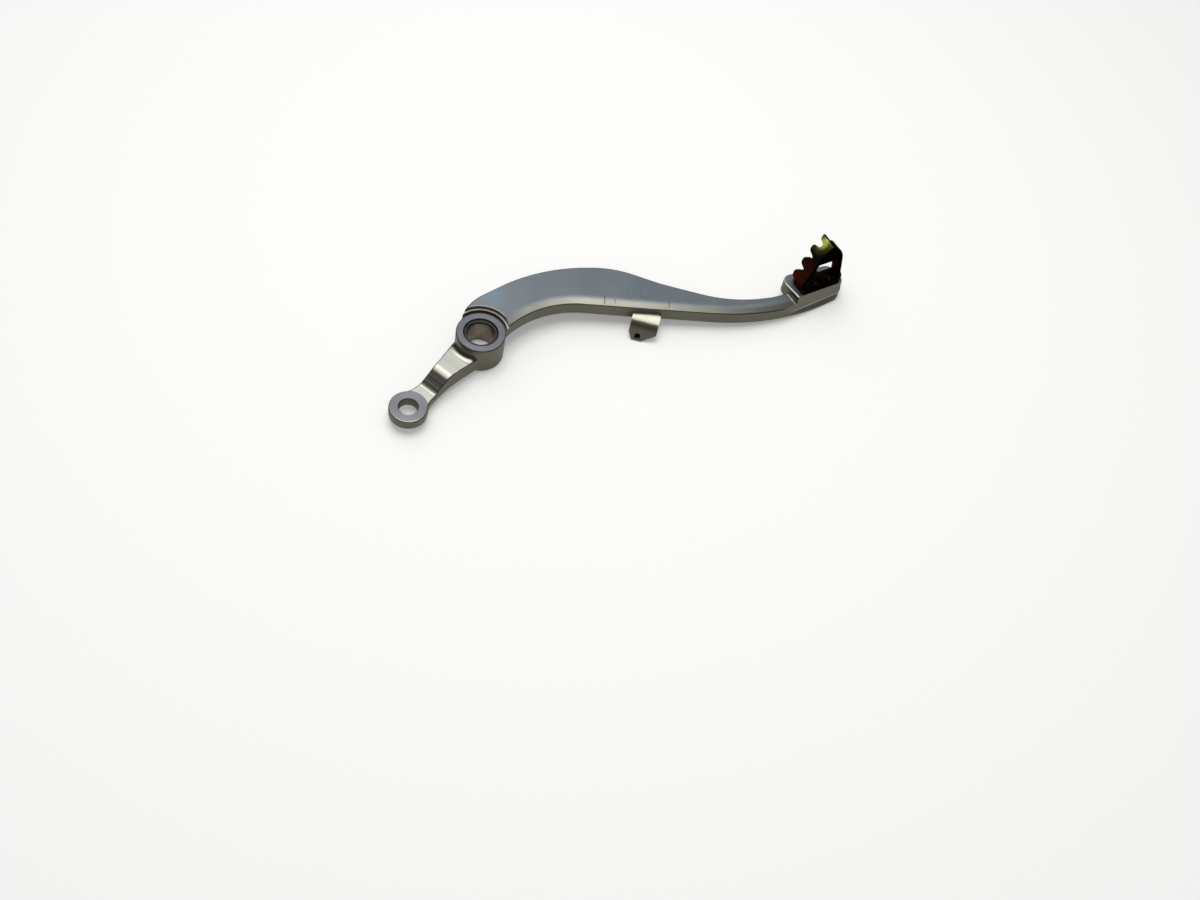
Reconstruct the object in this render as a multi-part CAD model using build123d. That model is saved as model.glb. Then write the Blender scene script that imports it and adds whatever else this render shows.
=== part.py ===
from build123d import *
from math import cos, radians, sin
import os

# Rear brake pedal of a small off-road motorbike, in millimetres. The origin is in the middle of the pivot bore,
# +Z runs along the bore to the outboard side, +X forward along the arm, +Y up as it hangs on the motorbike.

# Edges: forged ones are rounded, machined ones are broken
FORGED_EDGE = 0.8
MACHINED_EDGE = 0.4
TOUCHING = 0.01

# Pivot boss, its bush and the two sealing rings
BOSS_DIAMETER = 27.0
BOSS_LENGTH = 17.0
BUSH_BORE = 15.0
BUSH_WALL = 1.0
SEAL_SECTION = 1.6
SEAL_PIN_GAP = 0.15
SEAL_SEAT_DEPTH = 2.2

# S-curved blade: corners of its outline, each with the radius that rounds it
ARM_THICKNESS = 8.5
ARM_FACE_RISE = 3.0
UPPER_CORNERS = (
    ((-4.1, 19.9), 30.0),
    ((35.8, 43.9), 98.0),
    ((78.0, 43.9), 56.0),
    ((102.7, 32.4), 90.0),
    ((142.3, 19.1), 75.0),
    ((168.0, 22.6), 50.0),
)
LOWER_CORNERS = (
    ((33.6, 20.0), 53.0),
    ((167.4, 7.5), 130.0),
)
UPPER_ROOT_ANGLE = 150.0
LOWER_ROOT_ANGLE = -26.0
ROOT_SINK = 3.5
BEVEL_WIDTH = 4.8
BEVEL_DROP = 1.2
BEVEL_CROWN = 10.0

# Spot face that clears the boss end where the blade runs over it
SPOT_FACE_GAP = 0.9
SPOT_FACE_GROOVE = 1.0
SPOT_FACE_LEDGE = 1.1
SPOT_FACE_LEDGE_RISE = 1.2
SPOT_FACE_LIP = 0.7

# Pad at the tip, in its own frame: along runs with the tip, across points to the tread
PAD_X = 193.4
PAD_Y = 31.1
PAD_ANGLE = 22.0
PAD_RISE = 3.8
PAD_THICKNESS = 8.0
PAD_REAR = 16.5
PAD_TOP = 11.0
PAD_EAR = 2.8
PAD_CORNER = 5.5
PAD_INSET = 0.5
PAD_FOOT_FILLET = 2.0
PAD_NEAR_INSET = 0.2
PAD_NEAR_FLARE = 0.8
SLOPE_SETBACK = 1.7
SLOPE_RUN = 2.0
SLOPE_DROP = 7.3
TIP_FRONT = 16.2
TIP_HALF_WIDTH = 8.2
TIP_FLAT = 1.0
NECK_ALONG = -13.0
NECK_ACROSS = 1.0

# Rear lever and its eye
EYE_DISTANCE = 57.3
EYE_ANGLE = 225.3
EYE_DIAMETER = 20.8
EYE_BORE = 10.2
EYE_THICKNESS = 6.0
EYE_FLARE_ANGLE = 130.0
LEVER_FACE_DROP = 5.3
LEVER_LEVEL = 4.0
LEVER_SHOULDER_RADIUS = 30.0
LEVER_FOOT_RISE = 3.5
LEVER_ROOT_SETBACK = 2.9
LEVER_WAIST_WIDTH = 11.7
LEVER_WAIST_AT = 43.0
LEVER_FILLET_LAND = 0.4
JOGGLE_CREST = (37.5, 8.5)
JOGGLE_CREST_RADIUS = 13.0
JOGGLE_FOOT_AT = 42.3
JOGGLE_FOOT_RADIUS = 2.6

# Stop lug under the blade
LUG_X = 94.0
LUG_Y = 14.2
LUG_ANGLE = -109.0
LUG_LENGTH = 9.3
LUG_WIDTH = 15.5
LUG_SINK = 6.0
LUG_FACE_DROP = 5.0
LUG_THICKNESS = 10.4
LUG_ROLL = 4.5
LUG_LIP = 0.3
LUG_FLARE = 2.7
LUG_CORNER_WIDE = 7.7
LUG_CORNER_HIGH = 5.0
LUG_HEEL_WIDE = 2.4
LUG_HEEL_HIGH = 4.2
LUG_HOLE = 3.3
LUG_HOLE_DEPTH = 8.0
LUG_HOLE_SIDE = -2.4
LUG_HOLE_RISE = 2.4

# Steel step: corners of its plan, seen along the tread, as distances along the pad and out from the pad's face
STEP_REAR = -13.7
STEP_SHOULDER = (-4.6, 25.2)
STEP_SHOULDER_RADIUS = 10.0
STEP_NOSE = (2.3, 32.4)
STEP_NOSE_RADIUS = 2.5
STEP_CHEEK = (10.0, 23.0)
STEP_CHEEK_RADIUS = 25.0
STEP_FRONT = 15.2
STEP_WALL = 2.8
STEP_BASE_CORNER = 2.0
STEP_INSET = 0.9
STEP_MARGIN = 0.2
STEP_WEB_AT = 17.0
STEP_FLOOR = -2.0
STEP_ROOT = 3.5
TOOTH_HEIGHT = 4.5
TOOTH_COUNT = 4
TOOTH_FIRST = 5.2
TOOTH_PITCH = 9.6
TOOTH_TIP = 4.4
TOOTH_GAP = 2.4
TOOTH_ROUND = 2.4
TOOTH_GULLET = 0.8
TOOTH_SPARE = 0.5

# Rivets of the step, with domed heads outside and countersunk tails
RIVET_DIAMETER = 4.5
RIVET_HEAD = 7.0
RIVET_HEAD_HEIGHT = 1.7
RIVET_TAIL = 7.0
RIVET_CLEARANCE = 0.05
RIVET_AT = ((-3.0, -2.7), (6.6, -2.7))

BOSS_RADIUS = BOSS_DIAMETER / 2
BOSS_FACE_Z = BOSS_LENGTH / 2
ARM_FACE_Z = BOSS_FACE_Z + ARM_FACE_RISE
ARM_BACK_Z = ARM_FACE_Z - ARM_THICKNESS
PAD_FACE_Z = ARM_FACE_Z + PAD_RISE
PAD_BACK_Z = PAD_FACE_Z - PAD_THICKNESS
TIP_RADIUS = TIP_HALF_WIDTH - TIP_FLAT
PAD_NEAR_FRONT = TIP_HALF_WIDTH - PAD_NEAR_INSET
PAD_NEAR_REAR = PAD_NEAR_FRONT + PAD_NEAR_FLARE
SLOPE_BROW = TIP_HALF_WIDTH - SLOPE_SETBACK
LEVER_FILLET = LEVER_FACE_DROP - MACHINED_EDGE - LEVER_FILLET_LAND
SEAT_RADIUS = BUSH_BORE / 2 + SEAL_PIN_GAP + SEAL_SECTION


def polar(radius, angle):
    """Point at a radius and an angle in degrees about the pivot."""
    return (radius * cos(radians(angle)), radius * sin(radians(angle)))


def flat(point):
    """Point dropped onto the plane of the outlines."""
    return Vector(point.X, point.Y, 0)


def pad_point(along, across):
    """Point of the tip pad's frame in the pedal's frame."""
    c = cos(radians(PAD_ANGLE))
    s = sin(radians(PAD_ANGLE))
    return (PAD_X + along * c - across * s, PAD_Y + along * s + across * c)


def blade_chains():
    """Upper and lower edge of the blade, which meet at the middle of the tip."""
    neck = [pad_point(NECK_ALONG, NECK_ACROSS), pad_point(NECK_ALONG, TIP_HALF_WIDTH)]
    tip = pad_point(TIP_FRONT, 0)
    tip_top = pad_point(TIP_FRONT, TIP_HALF_WIDTH)
    tip_bottom = pad_point(TIP_FRONT, -TIP_HALF_WIDTH)
    upper = [polar(BOSS_RADIUS, UPPER_ROOT_ANGLE), *(point for point, _ in UPPER_CORNERS), *neck, tip_top, tip]
    upper_radii = [*(radius for _, radius in UPPER_CORNERS), 0, 0, TIP_RADIUS]
    lower = [polar(BOSS_RADIUS - ROOT_SINK, LOWER_ROOT_ANGLE), *(point for point, _ in LOWER_CORNERS), tip_bottom, tip]
    lower_radii = [*(radius for _, radius in LOWER_CORNERS), TIP_RADIUS]
    return FilletPolyline(*upper, radius=upper_radii), FilletPolyline(*lower, radius=lower_radii)


def edges_on(solid, chain, z):
    """Edges of a solid that run along a flat chain at a height."""
    rim = Pos(0, 0, z) * chain
    return [edge for edge in solid.edges() if rim.distance_to(edge @ 0.5) < TOUCHING]


def circles_at(solid, radius, z):
    """Round edges of a solid that have a radius and lie at a height."""
    circles = solid.edges().filter_by(GeomType.CIRCLE)
    return [edge for edge in circles if abs(edge.radius - radius) < TOUCHING and abs(edge.center().Z - z) < TOUCHING]


def make_blade():
    """S-curved blade with a wide shallow bevel along its lower outer edge, crowned where it leaves the face."""
    upper, lower = blade_chains()
    outline = make_face([upper, lower, Line(upper @ 0, lower @ 0)])
    blade = extrude(Pos(0, 0, ARM_BACK_Z) * outline, ARM_THICKNESS, dir=(0, 0, 1))
    face = blade.faces().sort_by(Axis.Z)[-1]
    blade = chamfer(edges_on(blade, lower, ARM_FACE_Z), BEVEL_WIDTH, BEVEL_DROP, reference=face)
    crease = [edge for edge in blade.faces().sort_by(Axis.Z)[-1].edges()
              if abs(lower.distance_to(flat(edge @ 0.5)) - BEVEL_WIDTH) < TOUCHING]
    blade = fillet(crease, BEVEL_CROWN)
    bevel_z = ARM_FACE_Z - BEVEL_DROP
    return fillet(edges_on(blade, lower, bevel_z) + edges_on(blade, upper, ARM_FACE_Z), FORGED_EDGE)


def lever_profile():
    """Side view of the lever: a face that falls to the joggle, the eye's level face, and a straight underside."""
    far = EYE_DISTANCE + EYE_DIAMETER
    eye_z = EYE_THICKNESS - BOSS_FACE_Z
    crest = (JOGGLE_CREST[0], BOSS_FACE_Z - JOGGLE_CREST[1])
    root = (0, BOSS_FACE_Z - LEVER_FACE_DROP)
    shoulder = (BOSS_RADIUS + LEVER_FILLET + LEVER_LEVEL, BOSS_FACE_Z - LEVER_FACE_DROP)
    heel = (0, LEVER_FOOT_RISE - BOSS_FACE_Z)
    top = FilletPolyline(root, shoulder, crest, (JOGGLE_FOOT_AT, eye_z), (far, eye_z),
                         radius=(LEVER_SHOULDER_RADIUS, JOGGLE_CREST_RADIUS, JOGGLE_FOOT_RADIUS))
    under = Polyline((far, eye_z), (far, -BOSS_FACE_Z), (EYE_DISTANCE, -BOSS_FACE_Z), heel, root)
    return make_face([top, under])


def make_lever():
    """Rear lever: a waisted plan cut from a joggled strip, with a round eye at its end."""
    radius = EYE_DIAMETER / 2
    flare_along, flare_out = polar(radius, EYE_FLARE_ANGLE)
    flare = EYE_DISTANCE + flare_along
    run = polar(1.0, EYE_FLARE_ANGLE - 90)
    half_root = BOSS_RADIUS - LEVER_ROOT_SETBACK
    half_waist = LEVER_WAIST_WIDTH / 2
    left = Spline((0, half_root), (LEVER_WAIST_AT, half_waist), (flare, flare_out), tangents=[(1, -0.14), run])
    eye = ThreePointArc((flare, flare_out), (EYE_DISTANCE + radius, 0), (flare, -flare_out))
    right = mirror(left, Plane.XZ)
    plan_rim = Curve() + [left, eye, right]
    plan = make_face([left, eye, right, Line((0, -half_root), (0, half_root))])
    blank = extrude(Pos(0, 0, -BOSS_FACE_Z) * plan, BOSS_LENGTH, dir=(0, 0, 1))
    lever = blank & extrude(Plane.XZ.offset(-EYE_DIAMETER) * lever_profile(), 2 * EYE_DIAMETER)
    sloping = lever.edges().filter_by(Axis.Z, reverse=True)
    rim = [edge for edge in sloping if plan_rim.distance_to(flat(edge @ 0.5)) < TOUCHING]
    lever = fillet(rim, FORGED_EDGE)
    lever -= Pos(EYE_DISTANCE, 0, 0) * Cylinder(EYE_BORE / 2, 2 * BOSS_LENGTH)
    mouths = lever.edges().filter_by(GeomType.CIRCLE).filter_by(lambda edge: abs(edge.radius - EYE_BORE / 2) < TOUCHING)
    lever = chamfer(mouths, MACHINED_EDGE)
    return Rot(0, 0, EYE_ANGLE) * lever


def make_lug():
    """Stop lug under the blade: a rolled top, a flared end with a blind hole, and one large lower corner."""
    shoulder = LUG_ROLL + LUG_LIP
    side = make_face(FilletPolyline(
        (-LUG_SINK, 0),
        (LUG_LENGTH, 0),
        (LUG_LENGTH, -shoulder),
        (LUG_LENGTH + LUG_FLARE, -LUG_THICKNESS),
        (-LUG_SINK, -LUG_THICKNESS),
        radius=(0, LUG_ROLL, 0, 0, 0),
        close=True,
    ))
    block = extrude(Plane.XZ.offset(-LUG_WIDTH / 2) * side, LUG_WIDTH)
    under = block.faces().sort_by(Axis.Z)[0]
    low = under.edges().filter_by(Axis.X).sort_by(Axis.Y)
    block = chamfer(low[-1], LUG_CORNER_WIDE, LUG_CORNER_HIGH, reference=under)
    under = block.faces().sort_by(Axis.Z)[0]
    low = under.edges().filter_by(Axis.X).sort_by(Axis.Y)
    block = chamfer(low[0], LUG_HEEL_WIDE, LUG_HEEL_HIGH, reference=under)
    hole = Cylinder(LUG_HOLE / 2, LUG_HOLE_DEPTH, align=(Align.CENTER, Align.CENTER, Align.MAX))
    mouth = Pos(LUG_LENGTH + LUG_FLARE, LUG_HOLE_SIDE, LUG_HOLE_RISE - LUG_THICKNESS) * Rot(0, 90, 0)
    return Pos(LUG_X, LUG_Y, ARM_FACE_Z - LUG_FACE_DROP) * Rot(0, 0, LUG_ANGLE) * (block - mouth * hole)


def make_pad():
    """Raised pad under the step, with its ear on the tread side."""
    outline = make_face(FilletPolyline(
        (-PAD_REAR, -PAD_NEAR_REAR),
        (TIP_FRONT - PAD_INSET, -PAD_NEAR_FRONT),
        (TIP_FRONT - PAD_INSET, TIP_HALF_WIDTH - PAD_INSET),
        (-PAD_REAR - PAD_EAR, PAD_TOP),
        radius=(0, TIP_RADIUS - PAD_INSET, TIP_RADIUS - PAD_INSET, PAD_CORNER),
        close=True,
    ))
    pad = extrude(on_pad(PAD_BACK_Z) * outline, PAD_THICKNESS, dir=(0, 0, 1))
    return fillet(pad.faces().sort_by(Axis.Z)[-1].edges(), FORGED_EDGE)


def tip_slope():
    """Block outside the slope that falls from the pad to the blade's edge along the near side of the tip."""
    slope = Plane(origin=(0, -SLOPE_BROW, 0), x_dir=(1, 0, 0), z_dir=(0, -SLOPE_DROP, SLOPE_RUN))
    span = 2 * PAD_REAR + 2 * TIP_FRONT
    return on_pad(PAD_FACE_Z) * slope.location * Box(span, span, span, align=(Align.CENTER, Align.CENTER, Align.MIN))


def on_pad(z):
    """Location of the pad's frame at a height."""
    return Pos(PAD_X, PAD_Y, z) * Rot(0, 0, PAD_ANGLE)


def rivet_blank(radius, base_z):
    """Shank and countersunk tail of the rivets, from the back of the blade up to a height, at both places."""
    tail = RIVET_TAIL / 2
    sink = tail - RIVET_DIAMETER / 2
    blanks = []
    for along, across in RIVET_AT:
        shank = Cylinder(radius, base_z - ARM_BACK_Z, align=(Align.CENTER, Align.CENTER, Align.MIN))
        cone = Cone(tail, tail - sink, sink, align=(Align.CENTER, Align.CENTER, Align.MIN))
        blanks.append(on_pad(ARM_BACK_Z) * Pos(along, across, 0) * (shank + cone))
    return blanks


def spot_face():
    """Round cut that clears the boss end, with a ledge in its wall and a mouth that rounds the blade's edge over it."""
    groove = BOSS_RADIUS + SPOT_FACE_GAP
    radius = groove + SPOT_FACE_LEDGE
    floor = BOSS_FACE_Z - SPOT_FACE_GROOVE
    ledge = BOSS_FACE_Z + SPOT_FACE_LEDGE_RISE
    mouth = radius + SPOT_FACE_LIP
    lip = ARM_FACE_Z - SPOT_FACE_LIP
    top = ARM_FACE_Z + BOSS_LENGTH
    wall = Polyline((mouth, ARM_FACE_Z), (mouth, top), (0, top), (0, floor), (groove, floor), (groove, ledge),
                    (radius, ledge), (radius, lip))
    turn = RadiusArc((radius, lip), (mouth, ARM_FACE_Z), SPOT_FACE_LIP)
    return revolve(Plane.XZ * make_face([wall, turn]), Axis.Z)


def make_front():
    """Blade and pad in one, cleared round the boss, sloped along the near side of the tip and blended behind the pad."""
    front = make_blade() - spot_face() + make_pad() - tip_slope()
    rear = Line(pad_point(-PAD_REAR, -PAD_NEAR_REAR), pad_point(-PAD_REAR - PAD_EAR, PAD_TOP))
    sloping = front.edges().filter_by(Axis.Z, reverse=True)
    foot = [edge for edge in sloping if rear.distance_to(flat(edge @ 0.5)) < TOUCHING
            and ARM_FACE_Z - BEVEL_DROP < (edge @ 0.5).Z < ARM_FACE_Z + TOUCHING]
    return fillet(foot, PAD_FOOT_FILLET)


def make_arm():
    """The forged arm: boss, blade, lever, lug and pad in one piece, then its machined bores and faces."""
    boss = Cylinder(BOSS_RADIUS, BOSS_LENGTH)
    boss = fillet(boss.edges().sort_by(Axis.Z)[0], FORGED_EDGE)
    boss = chamfer(circles_at(boss, BOSS_RADIUS, BOSS_FACE_Z), MACHINED_EDGE)
    arm = boss + make_lever()
    arm = fillet(circles_at(arm, BOSS_RADIUS, BOSS_FACE_Z - LEVER_FACE_DROP), LEVER_FILLET)
    arm = arm + make_front() + make_lug()
    arm -= Cylinder(BUSH_BORE / 2 + BUSH_WALL, BOSS_LENGTH)
    seat = Cylinder(SEAT_RADIUS, SEAL_SEAT_DEPTH, align=(Align.CENTER, Align.CENTER, Align.MAX))
    arm -= Pos(0, 0, BOSS_FACE_Z) * seat
    arm -= Pos(0, 0, SEAL_SEAT_DEPTH - BOSS_FACE_Z) * seat
    mouths = circles_at(arm, SEAT_RADIUS, BOSS_FACE_Z) + circles_at(arm, SEAT_RADIUS, -BOSS_FACE_Z)
    arm = chamfer(mouths, MACHINED_EDGE)
    for hole in rivet_blank(RIVET_DIAMETER / 2 + RIVET_CLEARANCE, PAD_FACE_Z):
        arm -= hole
    return arm


def standing(plan, low, high):
    """Solid that stands a plan of the step up between two heights across the pad."""
    plane = Plane((0, low, 0), x_dir=(1, 0, 0), z_dir=(0, -1, 0))
    return extrude(plane * plan, high - low, dir=(0, 1, 0))


def tooth_notch():
    """Gap between two teeth of the step, with the metal over both tips that rounds them."""
    flank = (TOOTH_PITCH - TOOTH_TIP) / 2
    half_gap = TOOTH_GAP / 2
    half_pitch = TOOTH_PITCH / 2
    spare = TOOTH_HEIGHT + 2 * TOOTH_SPARE
    return make_face(FilletPolyline(
        (-half_pitch, TOOTH_HEIGHT),
        (-flank, TOOTH_HEIGHT),
        (-half_gap, 0),
        (half_gap, 0),
        (flank, TOOTH_HEIGHT),
        (half_pitch, TOOTH_HEIGHT),
        (half_pitch, spare),
        (-half_pitch, spare),
        radius=(0, TOOTH_ROUND, TOOTH_GULLET, TOOTH_GULLET, TOOTH_ROUND, 0, 0, 0),
        close=True,
    ))


def make_step():
    """Steel step: a base plate on the pad and a curved wall that stands out from it, toothed along its rear."""
    corners = ((STEP_REAR, 0), STEP_SHOULDER, STEP_NOSE, STEP_CHEEK, (STEP_FRONT, 0))
    rim = FilletPolyline(*corners, radius=(STEP_SHOULDER_RADIUS, STEP_NOSE_RADIUS, STEP_CHEEK_RADIUS))
    outer = make_face([rim, Line(rim @ 1, rim @ 0)])
    inner = offset(outer, -STEP_WALL)
    width = STEP_FRONT - STEP_REAR
    window = inner & Pos(STEP_REAR, 0) * Rectangle(width, STEP_WEB_AT, align=Align.MIN)
    rear = Pos(STEP_NOSE[0] - width, 0) * Rectangle(width, 2 * STEP_NOSE[1], align=Align.MIN)
    crest = STEP_ROOT + TOOTH_HEIGHT
    step = standing(outer, STEP_FLOOR, STEP_ROOT) - standing(window, STEP_FLOOR, STEP_ROOT)
    teeth = standing((outer - inner) & rear, STEP_ROOT, crest + TOOTH_SPARE)
    notch = tooth_notch()
    for index in range(TOOTH_COUNT):
        reach = TOOTH_FIRST + (index - 0.5) * TOOTH_PITCH
        at = rim.position_at(reach, position_mode=PositionMode.LENGTH)
        run = rim.tangent_at(reach, position_mode=PositionMode.LENGTH)
        across = Plane((at.X, STEP_ROOT, at.Y), x_dir=(run.X, 0, run.Y), z_dir=(-run.Y, 0, run.X))
        teeth -= extrude(across * notch, 2 * STEP_WALL, both=True)
    near = STEP_MARGIN - SLOPE_BROW
    nose = TIP_RADIUS - STEP_INSET
    plate = ((STEP_REAR, near), (TIP_FRONT - STEP_INSET, near), (TIP_FRONT - STEP_INSET, STEP_ROOT),
             (STEP_REAR, STEP_ROOT))
    base = make_face(FilletPolyline(*plate, radius=(STEP_BASE_CORNER, nose, 0, 0), close=True))
    step = step + teeth + extrude(base, STEP_WALL, dir=(0, 0, 1))
    for along, across in RIVET_AT:
        step -= Pos(along, across, 0) * Cylinder(RIVET_DIAMETER / 2 + RIVET_CLEARANCE, 4 * STEP_WALL)
    return on_pad(PAD_FACE_Z) * step


def make_rivets():
    """The two rivets, each with a shallow domed head outside the base plate."""
    head_z = PAD_FACE_Z + STEP_WALL
    half = RIVET_HEAD / 2
    ball = (half * half + RIVET_HEAD_HEIGHT * RIVET_HEAD_HEIGHT) / (2 * RIVET_HEAD_HEIGHT)
    slab = Cylinder(RIVET_HEAD, RIVET_HEAD_HEIGHT, align=(Align.CENTER, Align.CENTER, Align.MIN))
    head = slab & Pos(0, 0, RIVET_HEAD_HEIGHT - ball) * Sphere(ball)
    rivets = []
    for shank, (along, across) in zip(rivet_blank(RIVET_DIAMETER / 2, head_z), RIVET_AT):
        rivets.append(shank + on_pad(head_z) * Pos(along, across, 0) * head)
    return Compound(children=[rivet.solid() for rivet in rivets])


def make_bush():
    """Plain bush pressed into the boss between the two seal seats."""
    length = BOSS_LENGTH - 2 * SEAL_SEAT_DEPTH
    return Cylinder(BUSH_BORE / 2 + BUSH_WALL, length) - Cylinder(BUSH_BORE / 2, length)


def make_seal(side):
    """Rubber ring in one mouth of the bore; side is +1 outboard and -1 inboard."""
    centre = BOSS_FACE_Z - SEAL_SEAT_DEPTH + SEAL_SECTION / 2
    return Pos(0, 0, side * centre) * Torus(SEAT_RADIUS - SEAL_SECTION / 2, SEAL_SECTION / 2)


if __name__ == "__main__":
    os.makedirs("parts", exist_ok=True)
    pieces = {
        "pedal_arm": make_arm(),
        "step_plate": make_step(),
        "step_rivets": make_rivets(),
        "pivot_bush": make_bush(),
        "outer_seal": make_seal(1),
        "inner_seal": make_seal(-1),
    }
    for name, piece in pieces.items():
        export_step(piece, f"parts/{name}.step")
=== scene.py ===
import logging
import math
from dataclasses import dataclass
from enum import Enum
from typing import Any, Callable, Sequence

import bmesh
import bpy
from mathutils import Matrix, Vector
from mathutils.bvhtree import BVHTree


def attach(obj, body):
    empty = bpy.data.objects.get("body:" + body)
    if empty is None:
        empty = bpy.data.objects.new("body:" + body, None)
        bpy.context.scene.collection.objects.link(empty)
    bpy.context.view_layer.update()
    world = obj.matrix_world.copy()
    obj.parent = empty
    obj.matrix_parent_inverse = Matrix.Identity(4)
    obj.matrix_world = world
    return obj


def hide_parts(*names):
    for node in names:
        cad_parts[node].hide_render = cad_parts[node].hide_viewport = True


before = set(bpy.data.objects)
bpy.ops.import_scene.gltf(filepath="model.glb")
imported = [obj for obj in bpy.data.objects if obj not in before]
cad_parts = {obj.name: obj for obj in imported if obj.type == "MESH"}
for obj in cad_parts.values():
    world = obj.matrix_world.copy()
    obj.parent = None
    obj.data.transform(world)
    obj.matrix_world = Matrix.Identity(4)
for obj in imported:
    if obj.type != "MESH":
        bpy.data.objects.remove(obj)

log = logging.getLogger("rear_brake_pedal")

Point = tuple[float, float, float]
Span = tuple[float, float]
Colour = tuple[float, float, float, float]

MM = 0.001
PHOTO_WIDTH = 1200
FLAT: Point = (1.0, 1.0, 0.0)
PIVOT: Point = (0.0, 0.0, 0.0)
PAD_CENTRE: Point = (193.4 * MM, 31.1 * MM, 0.0)
PAD_WAY: Point = (0.9272, 0.3746, 0.0)
PAD_SIDE: Point = (0.3746, -0.9272, 0.0)


class Ray(Enum):
    """Kinds of ray that see the pale floor and backdrop as plain white."""

    CAMERA = "Is Camera Ray"
    GLOSSY = "Is Glossy Ray"
    TRANSMISSION = "Is Transmission Ray"


class NodeSheet:
    """Places and links shader nodes in one node tree."""

    def __init__(self, tree: bpy.types.NodeTree) -> None:
        """Holds the tree that the nodes go into.

        Args:
            tree: The material's, world's or group's node tree.
        """
        self.tree = tree

    def add(self, kind: str, **settings: Any) -> bpy.types.Node:
        """Adds a node and sets its plain properties.

        Args:
            kind: Blender's type name of the node.
            settings: Properties of the node by name.

        Returns:
            The new node.
        """
        node = self.tree.nodes.new(kind)
        for name, value in settings.items():
            setattr(node, name, value)
        return node

    def feed(self, socket: bpy.types.NodeSocket, value: Any) -> None:
        """Links a socket to another socket, or sets its plain value.

        Args:
            socket: The input socket.
            value: An output socket or a plain value.
        """
        if isinstance(value, bpy.types.NodeSocket):
            self.tree.links.new(value, socket)
        else:
            socket.default_value = value

    def maths(self, operation: str, *values: Any, clamp: bool = False) -> bpy.types.NodeSocket:
        """Adds a Math node.

        Args:
            operation: Blender's name of the operation.
            values: Up to three sockets or numbers.
            clamp: Whether the result stays between 0 and 1.

        Returns:
            The node's output socket.
        """
        node = self.add("ShaderNodeMath", operation=operation, use_clamp=clamp)
        for socket, value in zip(node.inputs, values):
            self.feed(socket, value)
        return node.outputs[0]

    def vector(self, operation: str, *values: Any, out: str = "Vector") -> bpy.types.NodeSocket:
        """Adds a Vector Math node.

        Args:
            operation: Blender's name of the operation.
            values: Sockets or points for its inputs.
            out: Name of the output wanted.

        Returns:
            The node's output socket.
        """
        node = self.add("ShaderNodeVectorMath", operation=operation)
        for socket, value in zip(node.inputs, values):
            self.feed(socket, value)
        return node.outputs[out]

    def times(self, first: Any, second: Any) -> bpy.types.NodeSocket:
        """Product of two sockets or numbers."""
        return self.maths("MULTIPLY", first, second)

    def split(self, place: Any) -> bpy.types.Node:
        """Adds a node whose outputs X, Y and Z are the parts of a vector."""
        node = self.add("ShaderNodeSeparateXYZ")
        self.feed(node.inputs[0], place)
        return node

    def ramp(self, value: Any, low: Any, high: Any) -> bpy.types.NodeSocket:
        """Smooth step of a value from 0 at low to 1 at high.

        Args:
            value: The socket or number to remap.
            low: Where the step starts.
            high: Where the step ends.

        Returns:
            The step's output socket.
        """
        node = self.add("ShaderNodeMapRange", interpolation_type="SMOOTHSTEP")
        self.feed(node.inputs["Value"], value)
        self.feed(node.inputs["From Min"], low)
        self.feed(node.inputs["From Max"], high)
        return node.outputs["Result"]

    def span(self, value: Any, low: float, high: float) -> bpy.types.NodeSocket:
        """Straight remap of a value between 0 and 1 to between two numbers.

        Args:
            value: The socket to remap.
            low: Result at 0.
            high: Result at 1.

        Returns:
            The remapped socket.
        """
        node = self.add("ShaderNodeMapRange")
        self.feed(node.inputs["Value"], value)
        node.inputs["To Min"].default_value = low
        node.inputs["To Max"].default_value = high
        return node.outputs["Result"]

    def blend(self, share: Any, first: Any, second: Any) -> bpy.types.NodeSocket:
        """Mixes two colours.

        Args:
            share: Share of the second colour.
            first: First colour or socket.
            second: Second colour or socket.

        Returns:
            The mixed colour's socket.
        """
        node = self.add("ShaderNodeMix", data_type="RGBA")
        self.feed(node.inputs[0], share)
        self.feed(node.inputs[6], first)
        self.feed(node.inputs[7], second)
        return node.outputs[2]

    def noise(self, place: Any, scale: Any, detail: float,
              roughness: float = 0.55) -> bpy.types.NodeSocket:
        """Adds a Noise texture.

        Args:
            place: Coordinates.
            scale: Scale of the noise.
            detail: Octaves.
            roughness: Strength of the finer octaves.

        Returns:
            The noise value's socket.
        """
        node = self.add("ShaderNodeTexNoise")
        self.feed(node.inputs["Vector"], place)
        self.feed(node.inputs["Scale"], scale)
        node.inputs["Detail"].default_value = detail
        node.inputs["Roughness"].default_value = roughness
        return node.outputs["Fac"]

    def stretch(self, place: Any, scale: Point, turn: float = 0.0) -> bpy.types.NodeSocket:
        """Turns coordinates about Z and stretches them.

        Args:
            place: Coordinates.
            scale: Scale along each axis after the turn.
            turn: Turn about Z in degrees.

        Returns:
            The stretched coordinates' socket.
        """
        node = self.add("ShaderNodeMapping", vector_type="POINT")
        self.feed(node.inputs["Vector"], place)
        node.inputs["Rotation"].default_value = (0.0, 0.0, math.radians(turn))
        node.inputs["Scale"].default_value = scale
        return node.outputs["Vector"]

    def group(self, tree: bpy.types.NodeTree, **values: Any) -> bpy.types.Node:
        """Places a node group with its own values.

        Args:
            tree: The group's tree.
            values: Values or sockets by input name, with spaces as underscores.

        Returns:
            The group node.
        """
        node = self.add("ShaderNodeGroup", node_tree=tree)
        for name, value in values.items():
            self.feed(node.inputs[name.replace("_", " ")], value)
        return node


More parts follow.
